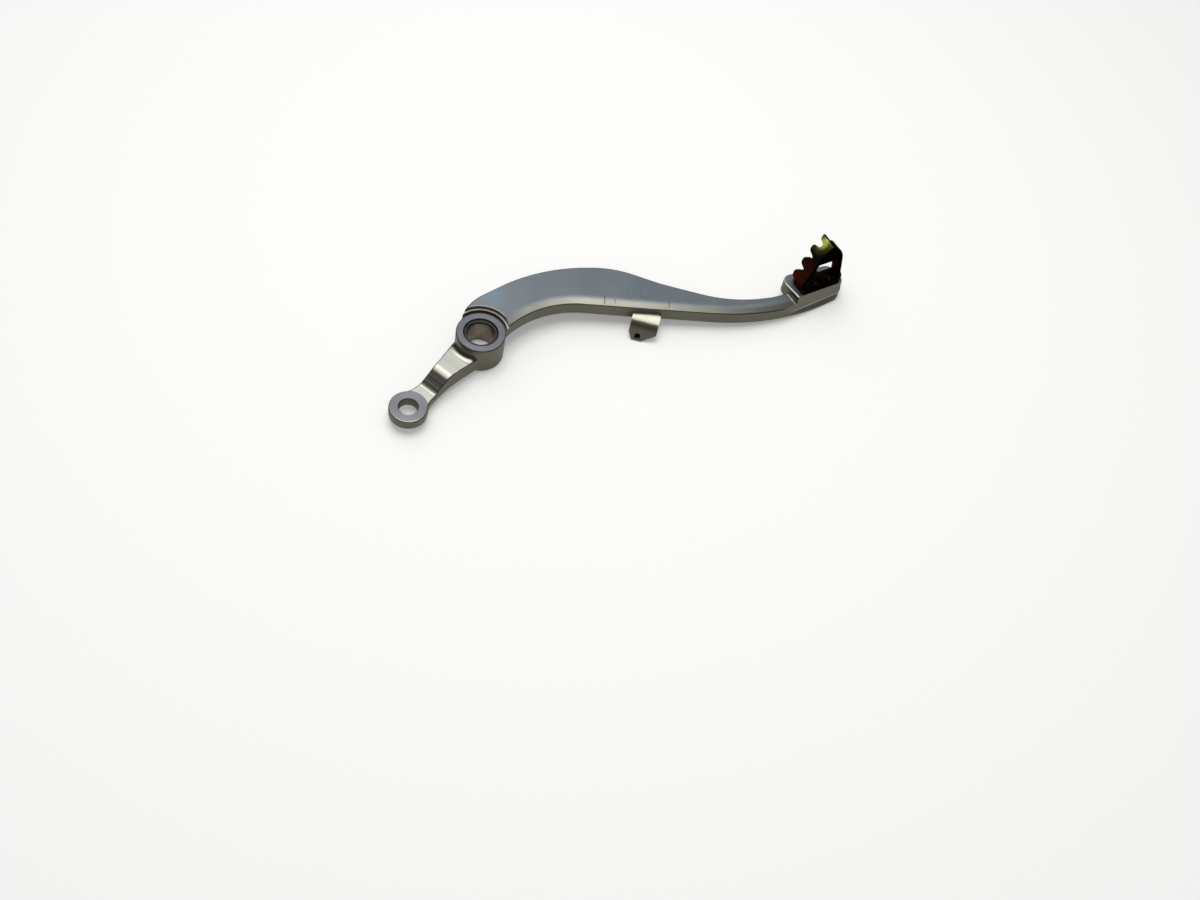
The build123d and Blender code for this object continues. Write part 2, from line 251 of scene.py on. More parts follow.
class SurfaceEffects:
    """Shader node groups that several finishes share."""

    cloud_step: Span = (0.3, 0.7)
    long_stretch: Point = (30.0, 1500.0, 1500.0)
    long_turn: float = 24.0
    long_step: Span = (0.69, 0.76)
    cross_stretch: Point = (1300.0, 45.0, 1300.0)
    cross_turn: float = -33.0
    cross_step: Span = (0.71, 0.78)
    patch_scale: float = 70.0
    patch_step: Span = (0.5, 0.66)
    pit_scale: float = 330.0
    pit_step: Span = (0.06, 0.17)
    few_scale: float = 130.0
    few_step: Span = (0.58, 0.64)
    nick_step: Span = (0.25, 1.0)

    def __init__(self) -> None:
        """Builds every group once."""
        self.grain = self._grain()
        self.scuffs = self._scuffs()
        self.turned = self._turned()
        self.nick = self._nick()

    @staticmethod
    def _sheet(name: str, vectors: Sequence[str], numbers: Sequence[str],
               outputs: Sequence[str]) -> tuple[NodeSheet, bpy.types.Node, bpy.types.Node]:
        """Starts a group with named sockets.

        Args:
            name: Name of the group.
            vectors: Names of the vector inputs.
            numbers: Names of the number inputs.
            outputs: Names of the number outputs.

        Returns:
            The sheet of the new group's tree, its input node and its output node.
        """
        tree = bpy.data.node_groups.new(name, "ShaderNodeTree")
        for label in vectors:
            tree.interface.new_socket(label, in_out="INPUT", socket_type="NodeSocketVector")
        for label in numbers:
            tree.interface.new_socket(label, in_out="INPUT", socket_type="NodeSocketFloat")
        for label in outputs:
            tree.interface.new_socket(label, in_out="OUTPUT", socket_type="NodeSocketFloat")
        sheet = NodeSheet(tree)
        return sheet, sheet.add("NodeGroupInput"), sheet.add("NodeGroupOutput")

    def _grain(self) -> bpy.types.NodeTree:
        """Fine tumbled grain with broad cloudy tone.

        Returns:
            The group's tree, with outputs Tone and Height.
        """
        sheet, way_in, way_out = self._sheet("tumbled_grain", ("Place",), ("Cloud Scale", "Grain Scale"),
                                             ("Tone", "Height"))
        place = way_in.outputs["Place"]
        clouds = sheet.noise(place, way_in.outputs["Cloud Scale"], detail=4.0)
        grain = sheet.noise(place, way_in.outputs["Grain Scale"], detail=2.0, roughness=0.6)
        sheet.feed(way_out.inputs["Tone"], sheet.ramp(clouds, *self.cloud_step))
        sheet.feed(way_out.inputs["Height"], grain)
        return sheet.tree

    def _scuffs(self) -> bpy.types.NodeTree:
        """Short scratches and small pits from handling.

        Returns:
            The group's tree, with outputs Scratches and Pits.
        """
        sheet, way_in, way_out = self._sheet("handling_scuffs", ("Place",), ("Scale",),
                                             ("Scratches", "Pits"))
        place = sheet.vector("SCALE", way_in.outputs["Place"])
        sheet.feed(place.node.inputs["Scale"], way_in.outputs["Scale"])
        long_place = sheet.stretch(place, self.long_stretch, self.long_turn)
        cross_place = sheet.stretch(place, self.cross_stretch, self.cross_turn)
        patches = sheet.ramp(sheet.noise(place, self.patch_scale, detail=2.0), *self.patch_step)
        long_marks = sheet.ramp(sheet.noise(long_place, 1.0, detail=1.0), *self.long_step)
        cross_marks = sheet.ramp(sheet.noise(cross_place, 1.0, detail=1.0), *self.cross_step)
        scratches = sheet.maths("ADD", long_marks, cross_marks, clamp=True)
        cells = sheet.add("ShaderNodeTexVoronoi")
        sheet.feed(cells.inputs["Vector"], place)
        cells.inputs["Scale"].default_value = self.pit_scale
        pits = sheet.maths("SUBTRACT", 1.0, sheet.ramp(cells.outputs["Distance"], *self.pit_step))
        few = sheet.ramp(sheet.noise(place, self.few_scale, detail=1.0), *self.few_step)
        sheet.feed(way_out.inputs["Scratches"], sheet.times(scratches, patches))
        sheet.feed(way_out.inputs["Pits"], sheet.times(pits, few))
        return sheet.tree

    def _turned(self) -> bpy.types.NodeTree:
        """Rings that a lathe tool leaves round an axis along Z.

        Returns:
            The group's tree, with outputs Distance and Rings.
        """
        sheet, way_in, way_out = self._sheet("turned_rings", ("Place", "Centre"), ("Pitch",),
                                             ("Distance", "Rings"))
        away = sheet.vector("SUBTRACT", way_in.outputs["Place"], way_in.outputs["Centre"])
        flat = sheet.vector("MULTIPLY", away, FLAT)
        distance = sheet.vector("LENGTH", flat, out="Value")
        turns = sheet.maths("DIVIDE", distance, way_in.outputs["Pitch"])
        rings = sheet.maths("SINE", sheet.times(turns, 2.0 * math.pi))
        sheet.feed(way_out.inputs["Distance"], distance)
        sheet.feed(way_out.inputs["Rings"], sheet.maths("MULTIPLY_ADD", rings, 0.5, 0.5))
        return sheet.tree

    def _nick(self) -> bpy.types.NodeTree:
        """One short nick, seen from the outboard side.

        Returns:
            The group's tree, with the output Mask.
        """
        sheet, way_in, way_out = self._sheet("short_nick", ("Place", "Start", "Run"), ("Width",),
                                             ("Mask",))
        run = way_in.outputs["Run"]
        away = sheet.vector("SUBTRACT", way_in.outputs["Place"], way_in.outputs["Start"])
        flat = sheet.vector("MULTIPLY", away, FLAT)
        reach = sheet.vector("DOT_PRODUCT", flat, run, out="Value")
        whole = sheet.vector("DOT_PRODUCT", run, run, out="Value")
        share = sheet.maths("DIVIDE", reach, whole, clamp=True)
        nearest = sheet.vector("SCALE", run)
        sheet.feed(nearest.node.inputs["Scale"], share)
        distance = sheet.vector("LENGTH", sheet.vector("SUBTRACT", flat, nearest), out="Value")
        widths = sheet.maths("DIVIDE", distance, way_in.outputs["Width"])
        outside = sheet.ramp(widths, *self.nick_step)
        sheet.feed(way_out.inputs["Mask"], sheet.maths("SUBTRACT", 1.0, outside))
        return sheet.tree


class Finish:
    """One surface finish, made into a material with a Principled shader."""

    effects: SurfaceEffects
    name: str
    cloud_scale: float
    grain_scale: float

    def start(self) -> tuple[bpy.types.Material, NodeSheet, bpy.types.Node, bpy.types.Node]:
        """Starts a material.

        Returns:
            The material, its sheet, its Principled shader and its texture coordinates.
        """
        material = bpy.data.materials.new(self.name)
        material.use_nodes = True
        sheet = NodeSheet(material.node_tree)
        shader = material.node_tree.nodes["Principled BSDF"]
        return material, sheet, shader, sheet.add("ShaderNodeTexCoord")

    def place_grain(self, sheet: NodeSheet, place: Any) -> bpy.types.Node:
        """Places the tumbled grain at the finish's own scales."""
        return sheet.group(self.effects.grain, Place=place, Cloud_Scale=self.cloud_scale,
                           Grain_Scale=self.grain_scale)

    @staticmethod
    def emboss(sheet: NodeSheet, shader: bpy.types.Node, height: Any, depth: float, strength: float,
               ground: Any = None) -> None:
        """Feeds a height into the shader's normal.

        Args:
            sheet: The material's sheet.
            shader: The Principled shader.
            height: Height socket.
            depth: Depth of the relief in metres.
            strength: Strength of the relief.
            ground: Normal that the relief stands on, where it isn't the surface's own.
        """
        bump = sheet.add("ShaderNodeBump")
        bump.inputs["Strength"].default_value = strength
        bump.inputs["Distance"].default_value = depth
        sheet.feed(bump.inputs["Height"], height)
        if ground is not None:
            sheet.feed(bump.inputs["Normal"], ground)
        sheet.feed(shader.inputs["Normal"], bump.outputs["Normal"])


@dataclass(frozen=True)
class Nick:
    """A short dark nick in the arm's face, in millimetres from the pivot."""

    start: tuple[float, float]
    end: tuple[float, float]
    width: float
    depth: float


NICKS = (
    Nick((70.2, 22.9), (69.6, 17.9), 0.42, 0.75),
    Nick((75.5, 20.9), (75.8, 18.4), 0.40, 0.60),
    Nick((106.3, 18.4), (105.9, 15.2), 0.42, 0.70),
    Nick((89.6, 35.8), (95.1, 29.6), 0.35, 0.25),
    Nick((91.0, 22.8), (94.4, 21.0), 0.38, 0.40),
    Nick((91.4, 27.5), (91.2, 22.4), 0.34, 0.30),
)


@dataclass(frozen=True)
class ForgedAluminium(Finish):
    """Tumbled forging: satin face with painted highlights and a painted blue reflection, edges painted
    brighter by how they face and painted darker towards the tip, sides darker as forging skin and
    painted shade, turned boss and eye.
    """

    effects: SurfaceEffects
    arm: "ForgedArm"
    name: str = "forged_aluminium_satin"
    face_cool: Colour = (0.186, 0.209, 0.230, 1.0)
    face_warm: Colour = (0.207, 0.222, 0.229, 1.0)
    # Painted reflection: the pale blue colour of a patch on the face near the boss.
    face_blue_reflection: Colour = (0.19, 0.265, 0.34, 1.0)
    edge_tone: Colour = (0.235, 0.227, 0.197, 1.0)
    # Painted shade: the edge colour towards the tip.
    edge_shaded: Colour = (0.125, 0.125, 0.104, 1.0)
    # Painted highlight colours for edges and low surfaces.
    edge_highlight: Colour = (0.30, 0.293, 0.258, 1.0)
    level_highlight: Colour = (0.47, 0.46, 0.41, 1.0)
    # Painted shade tones, and wall colours that are partly the forging's skin and partly painted shade.
    shade_tone: Colour = (0.060, 0.059, 0.050, 1.0)
    lug_shade: Colour = (0.110, 0.106, 0.084, 1.0)
    tip_shade: Colour = (0.075, 0.074, 0.061, 1.0)
    dark_skin_and_shade: Colour = (0.115, 0.114, 0.086, 1.0)
    light_skin_and_shade: Colour = (0.148, 0.146, 0.113, 1.0)
    sloping_lit_skin: Colour = (0.165, 0.155, 0.125, 1.0)
    turned_tone: Colour = (0.178, 0.174, 0.19, 1.0)
    scratch_tone: Colour = (0.34, 0.34, 0.34, 1.0)
    nick_tone: Colour = (0.030, 0.029, 0.024, 1.0)
    cloud_scale: float = 45.0
    grain_scale: float = 1500.0
    scuff_scale: float = 1.0
    ring_pitch: float = 0.35 * MM
    turned_facing: Span = (0.985, 0.998)
    face_facing: Span = (0.962, 0.996)
    edge_facing: Span = (0.875, 0.945)
    shade_facing: Span = (0.45, 0.7)
    brow_facing: Span = (0.35, 0.6)
    sloping_facing: Span = (0.08, 0.26)
    smooth_facing: Span = (0.3, 0.8)
    wall_facing: Span = (0.45, 0.7)
    blue_reflection_share: float = 0.65
    scratch_share: float = 0.45
    pit_share: float = 0.5
    roughness: Span = (0.46, 0.54)
    smoother_upward: float = 0.14
    smoother_turned: float = 0.06
    ring_height: float = 0.5
    pit_height: float = -1.2
    nick_height: float = -1.5
    scratch_height: float = -0.4
    relief_depth: float = 0.06 * MM
    relief_strength: float = 0.35
    turned_depth: float = 0.45 * MM
    lug_margin: float = 0.2 * MM
    under_fade: float = 0.3 * MM
    line_half: Span = (0.55 * MM, 0.15 * MM)

    def material(self) -> bpy.types.Material:
        """Builds the material.

        Returns:
            The finished material.
        """
        material, sheet, shader, coords = self.start()
        place = coords.outputs["Object"]
        arm = self.arm
        grain = self.place_grain(sheet, place)
        scuffs = sheet.group(self.effects.scuffs, Place=place, Scale=self.scuff_scale)
        tone = grain.outputs["Tone"]
        scratches = scuffs.outputs["Scratches"]
        pits = scuffs.outputs["Pits"]
        nicks = self._nick_mask(sheet, place)
        facing = sheet.split(coords.outputs["Normal"]).outputs["Z"]
        ring, boss = self._turned_zone(sheet, place, PIVOT, arm.boss_radius, arm.boss_face)
        eye_ring, eye = self._turned_zone(sheet, place, arm.eye_centre, arm.eye_radius, arm.eye_face)
        level = sheet.ramp(facing, *self.turned_facing)
        turned = sheet.times(sheet.maths("MAXIMUM", ring, eye_ring), level)
        # Painted highlight: the lever's top, the lug's roll and the boss's ledge are painted lighter.
        highlit = self._painted_highlights(sheet, place)
        parts = sheet.split(place).outputs
        pad = sheet.ramp(parts["Z"], arm.pad_from, arm.pad_full)
        face = sheet.blend(tone, self.face_cool, self.face_warm)
        # Painted reflection: a pale blue patch on the face near the boss.
        blue_reflection = self._round_zone(sheet, place, arm.blue_reflection_centre, arm.blue_reflection_core, arm.blue_reflection_reach)
        face = sheet.blend(sheet.times(blue_reflection, self.blue_reflection_share), face, self.face_blue_reflection)
        face = sheet.blend(sheet.times(scratches, self.scratch_share), face, self.scratch_tone)
        face = sheet.blend(highlit, face, self.level_highlight)
        # Painted shade: the edge colour darkens along the arm from the boss end towards the tip.
        shaded_along = sheet.ramp(parts["X"], arm.lit_until, arm.shaded_from)
        edge = sheet.blend(shaded_along, self.edge_tone, self.edge_shaded)
        # Painted highlight: the bevel is painted lighter near the boss.
        bevel_highlight = self._round_zone(sheet, place, arm.bevel_highlight_centre, arm.bevel_highlight_core, arm.bevel_highlight_reach)
        edge = sheet.blend(sheet.maths("MAXIMUM", highlit, bevel_highlight), edge, self.edge_highlight)
        # Painted highlight: on the pad the edge colour is the lightest.
        edge = sheet.blend(pad, edge, self.level_highlight)
        # The walls are darker than the face, partly as the forging's own skin and partly as painted
        # shade; sloping walls are painted lighter.
        skin_and_shade = sheet.blend(tone, self.dark_skin_and_shade, self.light_skin_and_shade)
        skin_and_shade = sheet.blend(sheet.ramp(facing, *self.sloping_facing), skin_and_shade, self.sloping_lit_skin)
        # Painted shade: surfaces facing half up are painted dark, less dark on the lug.
        shade = sheet.blend(self._lug_zone(sheet, place), self.shade_tone, self.lug_shade)
        skin_and_shade = sheet.blend(sheet.ramp(facing, *self.shade_facing), skin_and_shade, shade)
        # Painted shade under the tip's painted crease line, and a painted highlight along the line.
        under, crease_highlight = self._painted_tip_crease(sheet, coords)
        skin_and_shade = sheet.blend(under, skin_and_shade, self.tip_shade)
        skin_and_shade = sheet.blend(crease_highlight, skin_and_shade, self.edge_highlight)
        # Painted highlight: the pad's raised edges take the lightest colour.
        pad_edge_highlight = sheet.times(pad, sheet.ramp(facing, *self.brow_facing))
        # Painted highlight: the bevel band and the pad's upper edges take the lighter edge colour by how
        # they face.
        lit_edges = sheet.maths("MAXIMUM", sheet.ramp(facing, *self.edge_facing), pad_edge_highlight)
        colour = sheet.blend(lit_edges, skin_and_shade, edge)
        colour = sheet.blend(sheet.ramp(facing, *self.face_facing), colour, face)
        colour = sheet.blend(turned, colour, self.turned_tone)
        colour = sheet.blend(sheet.times(pits, self.pit_share), colour, self.dark_skin_and_shade)
        colour = sheet.blend(nicks, colour, self.nick_tone)
        sheet.feed(shader.inputs["Base Color"], colour)
        shader.inputs["Metallic"].default_value = 1.0
        upward = sheet.times(sheet.ramp(facing, *self.smooth_facing), self.smoother_upward)
        rough = sheet.maths("SUBTRACT", sheet.span(tone, *self.roughness), upward)
        rough = sheet.maths("SUBTRACT", rough, sheet.times(turned, self.smoother_turned))
        sheet.feed(shader.inputs["Roughness"], rough)
        rings = sheet.maths("ADD", sheet.times(ring, boss), sheet.times(eye_ring, eye))
        height = grain.outputs["Height"]
        for mask, rise in ((sheet.times(rings, level), self.ring_height), (pits, self.pit_height),
                           (nicks, self.nick_height), (scratches, self.scratch_height)):
            height = sheet.maths("MULTIPLY_ADD", mask, rise, height)
        self.emboss(sheet, shader, height, self.relief_depth, self.relief_strength)
        return material

    def _nick_mask(self, sheet: NodeSheet, place: Any) -> bpy.types.NodeSocket:
        """Mask of every nick.

        Args:
            sheet: The material's sheet.
            place: Object coordinates.

        Returns:
            The mask, as deep as each nick is.
        """
        mask: Any = 0.0
        for nick in NICKS:
            start = Vector((*nick.start, 0.0)) * MM
            run = Vector((*nick.end, 0.0)) * MM - start
            width = nick.width * MM
            group = sheet.group(self.effects.nick, Place=place, Start=start, Run=run, Width=width)
            mask = sheet.maths("MAXIMUM", mask, sheet.times(group.outputs["Mask"], nick.depth))
        return mask

    @staticmethod
    def _round_zone(sheet: NodeSheet, place: Any, centre: Point, core: float,
                    reach: float) -> bpy.types.NodeSocket:
        """Soft round zone about a point.

        Args:
            sheet: The material's sheet.
            place: Object coordinates.
            centre: Middle of the zone.
            core: Distance up to which the zone is full.
            reach: Distance at which it has faded out.

        Returns:
            The zone's mask.
        """
        distance = sheet.vector("DISTANCE", place, centre, out="Value")
        return sheet.ramp(distance, reach, core)

    def _painted_highlights(self, sheet: NodeSheet, place: Any) -> bpy.types.NodeSocket:
        """Mask of the low surfaces painted bright as highlights: the lever's top, the lug's roll and the
        boss's ledge.

        Args:
            sheet: The material's sheet.
            place: Object coordinates.

        Returns:
            The mask.
        """
        arm = self.arm
        along = sheet.vector("DOT_PRODUCT", place, arm.lever_way, out="Value")
        lever = sheet.ramp(along, arm.highlight_from, arm.highlight_full)
        lug = self._lug_zone(sheet, place)
        away = sheet.vector("LENGTH", sheet.vector("MULTIPLY", place, FLAT), out="Value")
        ledge = sheet.maths("COMPARE", away, arm.ledge_radius, arm.ledge_half)
        return sheet.maths("MAXIMUM", sheet.maths("MAXIMUM", lever, lug), ledge)

    def _lug_zone(self, sheet: NodeSheet, place: Any) -> bpy.types.NodeSocket:
        """Mask of the stop lug.

        Args:
            sheet: The material's sheet.
            place: Object coordinates.

        Returns:
            The mask.
        """
        arm = self.arm
        lug = self._round_zone(sheet, place, arm.lug_centre, arm.lug_core, arm.lug_reach)
        height = sheet.split(place).outputs["Z"]
        return sheet.times(lug, sheet.maths("LESS_THAN", height, arm.lug_top + self.lug_margin))

    def _painted_tip_crease(self, sheet: NodeSheet,
                    coords: bpy.types.Node) -> tuple[bpy.types.NodeSocket, bpy.types.NodeSocket]:
        """Masks of the tip's near wall, where a painted highlight line stands for the bevel's edge
        running out along it, with painted shade below.

        Args:
            sheet: The material's sheet.
            coords: The texture coordinates.

        Returns:
            The mask of the painted shade on the wall under the line and the mask of the painted
            highlight line itself.
        """
        arm = self.arm
        place = coords.outputs["Object"]
        away = sheet.vector("SUBTRACT", place, PAD_CENTRE)
        reach = sheet.vector("DOT_PRODUCT", away, PAD_WAY, out="Value")
        level = sheet.maths("MULTIPLY_ADD", reach, arm.crease_climb, arm.crease_level)
        depth = sheet.maths("SUBTRACT", level, sheet.split(place).outputs["Z"])
        near = sheet.vector("DOT_PRODUCT", coords.outputs["Normal"], PAD_SIDE, out="Value")
        begun = sheet.ramp(reach, arm.crease_from, arm.crease_full)
        wall = sheet.times(sheet.ramp(near, *self.wall_facing), begun)
        under = sheet.times(wall, sheet.ramp(depth, 0.0, self.under_fade))
        line = sheet.ramp(sheet.maths("ABSOLUTE", depth), *self.line_half)
        return under, sheet.times(wall, line)

    def _turned_zone(self, sheet: NodeSheet, place: Any, centre: Point, radius: float,
                     level: float) -> tuple[bpy.types.NodeSocket, bpy.types.NodeSocket]:
        """Mask and rings of one turned end face.

        Args:
            sheet: The material's sheet.
            place: Object coordinates.
            centre: Centre of the face.
            radius: Radius of the face.
            level: Height of the face.

        Returns:
            The face's mask and the height of its rings.
        """
        rings = sheet.group(self.effects.turned, Place=place, Centre=centre, Pitch=self.ring_pitch)
        inside = sheet.maths("LESS_THAN", rings.outputs["Distance"], radius)
        at_level = sheet.maths("COMPARE", sheet.split(place).outputs["Z"], level, self.turned_depth)
        return sheet.times(inside, at_level), rings.outputs["Rings"]


@dataclass(frozen=True)
class PlatedSteel(Finish):
    """Iridescent plating on steel: near black as a painted dark reflection, red low on the tread, a
    painted yellow-green highlight at the nose.
    """

    effects: SurfaceEffects
    name: str = "passivated_plating"
    # Painted highlight at the nose: its centre, full radius and fade radius.
    nose_highlight_centre: Point = (190.9 * MM, 34.4 * MM, 42.0 * MM)
    nose_highlight_core: float = 3.2 * MM
    nose_highlight_reach: float = 8.5 * MM
    # The near-black base is a painted dark reflection; the gold and its moss halo are a painted
    # highlight.
    black: Colour = (0.006, 0.0045, 0.0038, 1.0)
    rose: Colour = (0.055, 0.006, 0.007, 1.0)
    rust: Colour = (0.032, 0.008, 0.004, 1.0)
    olive: Colour = (0.020, 0.020, 0.008, 1.0)
    scratch_and_highlight_moss: Colour = (0.085, 0.092, 0.018, 1.0)
    nose_highlight_gold: Colour = (0.74, 0.82, 0.19, 1.0)
    glancing: Colour = (0.42, 0.40, 0.33, 1.0)
    cloud_scale: float = 150.0
    grain_scale: float = 2600.0
    scuff_scale: float = 1.6
    film_scale: float = 80.0
    film_step: Span = (0.38, 0.54)
    film_drift: float = 4.0 * MM
    red_height: Span = (36.0 * MM, 24.0 * MM)
    rear_facing: Span = (0.4, 0.8)
    front_facing: Span = (0.3, 0.8)
    crown_facing: Span = (0.985, 0.93)
    nose_facing: Span = (0.2, 0.6)
    olive_share: float = 0.8
    gold_from: float = 1.35
    gold_full: float = 0.4
    scratch_share: float = 0.25
    roughness: Span = (0.2, 0.34)
    edge_radius: float = 0.6 * MM
    edge_samples: int = 6
    relief_depth: float = 0.04 * MM
    relief_strength: float = 0.3

    def material(self) -> bpy.types.Material:
        """Builds the material.

        Returns:
            The finished material.
        """
        material, sheet, shader, coords = self.start()
        place = coords.outputs["Object"]
        normal = sheet.split(coords.outputs["Normal"]).outputs
        grain = self.place_grain(sheet, place)
        scuffs = sheet.group(self.effects.scuffs, Place=place, Scale=self.scuff_scale)
        film = sheet.noise(place, self.film_scale, detail=2.0)
        rearward = sheet.ramp(sheet.times(normal["X"], -1.0), *self.rear_facing)
        low = sheet.ramp(sheet.split(place).outputs["Z"], *self.red_height)
        warm = sheet.blend(sheet.ramp(film, *self.film_step), self.rust, self.rose)
        # Painted shade: the base is near black, as a painted dark reflection.
        colour = sheet.blend(sheet.times(rearward, low), self.black, warm)
        forward = sheet.ramp(normal["X"], *self.front_facing)
        colour = sheet.blend(sheet.times(forward, self.olive_share), colour, self.olive)
        # Painted highlight: a gold spot with a moss halo on the nose's faces that face partly up; moss
        # also colours real scratches.
        away = sheet.vector("DISTANCE", place, self.nose_highlight_centre, out="Value")
        drift = sheet.maths("SUBTRACT", film, 0.5)
        ragged = sheet.maths("MULTIPLY_ADD", drift, self.film_drift, away)
        crown = sheet.ramp(normal["Z"], *self.crown_facing)
        outward = sheet.times(sheet.ramp(normal["Z"], *self.nose_facing), crown)
        highlight_halo = sheet.ramp(ragged, self.nose_highlight_reach, self.nose_highlight_core)
        core = sheet.ramp(ragged, self.nose_highlight_core * self.gold_from, self.nose_highlight_core * self.gold_full)
        colour = sheet.blend(sheet.times(outward, highlight_halo), colour, self.scratch_and_highlight_moss)
        colour = sheet.blend(sheet.times(outward, core), colour, self.nose_highlight_gold)
        scratches = sheet.times(scuffs.outputs["Scratches"], self.scratch_share)
        colour = sheet.blend(scratches, colour, self.scratch_and_highlight_moss)
        sheet.feed(shader.inputs["Base Color"], colour)
        shader.inputs["Metallic"].default_value = 1.0
        shader.inputs["Specular Tint"].default_value = self.glancing
        sheet.feed(shader.inputs["Roughness"], sheet.span(grain.outputs["Tone"], *self.roughness))
        rounded = sheet.add("ShaderNodeBevel", samples=self.edge_samples)
        rounded.inputs["Radius"].default_value = self.edge_radius
        self.emboss(sheet, shader, grain.outputs["Height"], self.relief_depth, self.relief_strength,
                    rounded.outputs["Normal"])
        return material


@dataclass(frozen=True)
class TurnedBronze(Finish):
    """Bored bronze of the pivot bush."""

    effects: SurfaceEffects
    name: str = "turned_bronze"
    light: Colour = (0.24, 0.21, 0.165, 1.0)
    dark: Colour = (0.15, 0.12, 0.09, 1.0)
    cloud_scale: float = 220.0
    grain_scale: float = 2400.0
    line_stretch: Point = (40.0, 40.0, 5200.0)
    roughness: Span = (0.28, 0.46)
    relief_depth: float = 0.03 * MM
    relief_strength: float = 0.4

    def material(self) -> bpy.types.Material:
        """Builds the material.

        Returns:
            The finished material.
        """
        material, sheet, shader, coords = self.start()
        place = coords.outputs["Object"]
        grain = self.place_grain(sheet, place)
        lines = sheet.noise(sheet.stretch(place, self.line_stretch), 1.0, detail=2.0)
        colour = sheet.blend(grain.outputs["Tone"], self.dark, self.light)
        sheet.feed(shader.inputs["Base Color"], colour)
        shader.inputs["Metallic"].default_value = 1.0
        sheet.feed(shader.inputs["Roughness"], sheet.span(lines, *self.roughness))
        self.emboss(sheet, shader, lines, self.relief_depth, self.relief_strength)
        return material


@dataclass(frozen=True)
class SealRubber(Finish):
    """Moulded black rubber of the sealing rings."""

    effects: SurfaceEffects
    name: str = "seal_rubber_black"
    black: Colour = (0.012, 0.012, 0.013, 1.0)
    bloom: Colour = (0.035, 0.034, 0.033, 1.0)
    cloud_scale: float = 260.0
    grain_scale: float = 3000.0
    roughness: Span = (0.42, 0.6)
    relief_depth: float = 0.03 * MM
    relief_strength: float = 0.3

    def material(self) -> bpy.types.Material:
        """Builds the material.

        Returns:
            The finished material.
        """
        material, sheet, shader, coords = self.start()
        place = coords.outputs["Object"]
        grain = self.place_grain(sheet, place)
        tone = grain.outputs["Tone"]
        sheet.feed(shader.inputs["Base Color"], sheet.blend(tone, self.black, self.bloom))
        sheet.feed(shader.inputs["Roughness"], sheet.span(tone, *self.roughness))
        self.emboss(sheet, shader, grain.outputs["Height"], self.relief_depth, self.relief_strength)
        return material


@dataclass
class PhotoCamera:
    """Camera at the photograph's viewing angle."""

    place: Point = (-85.24 * MM, -499.27 * MM, 634.26 * MM)
    azimuth: float = -18.507
    elevation: float = 54.615
    roll: float = 14.209
    focal_pixels: float = 1487.41
    sensor: float = 36.0
    nearest: float = 10.0 * MM

    def build(self) -> bpy.types.Object:
        """Makes the camera and hands it to the scene.

        Returns:
            The camera object.
        """
        a = math.radians(self.azimuth)
        e = math.radians(self.elevation)
        r = math.radians(self.roll)
        level = Vector((math.cos(a), math.sin(a), 0.0))
        ahead = Vector((-math.sin(a) * math.cos(e), math.cos(a) * math.cos(e), -math.sin(e)))
        upright = level.cross(ahead)
        right = level * math.cos(r) + upright * math.sin(r)
        up = upright * math.cos(r) - level * math.sin(r)
        data = bpy.data.cameras.new("photo_camera")
        data.sensor_fit = "HORIZONTAL"
        data.sensor_width = self.sensor
        data.lens = self.focal_pixels * self.sensor / PHOTO_WIDTH
        data.clip_start = self.nearest
        camera = bpy.data.objects.new("photo_camera", data)
        turn = Matrix((right, up, -ahead)).transposed().to_4x4()
        camera.matrix_world = Matrix.Translation(Vector(self.place)) @ turn
        bpy.context.collection.objects.link(camera)
        bpy.context.scene.camera = camera
        return camera


@dataclass
class Lamp:
    """One soft rectangular lamp."""

    name: str
    place: Point
    target: Point
    width: float
    depth: float
    power: float
    tint: Point

    def build(self) -> bpy.types.Object:
        """Makes the lamp and aims it.

        Returns:
            The lamp object.
        """
        data = bpy.data.lights.new(self.name, "AREA")
        data.shape = "RECTANGLE"
        data.size = self.width
        data.size_y = self.depth
        data.energy = self.power
        data.color = self.tint
        lamp = bpy.data.objects.new(self.name, data)
        aim = Vector(self.target) - Vector(self.place)
        lamp.location = self.place
        lamp.rotation_euler = aim.to_track_quat("-Z", "Y").to_euler()
        bpy.context.collection.objects.link(lamp)
        return lamp


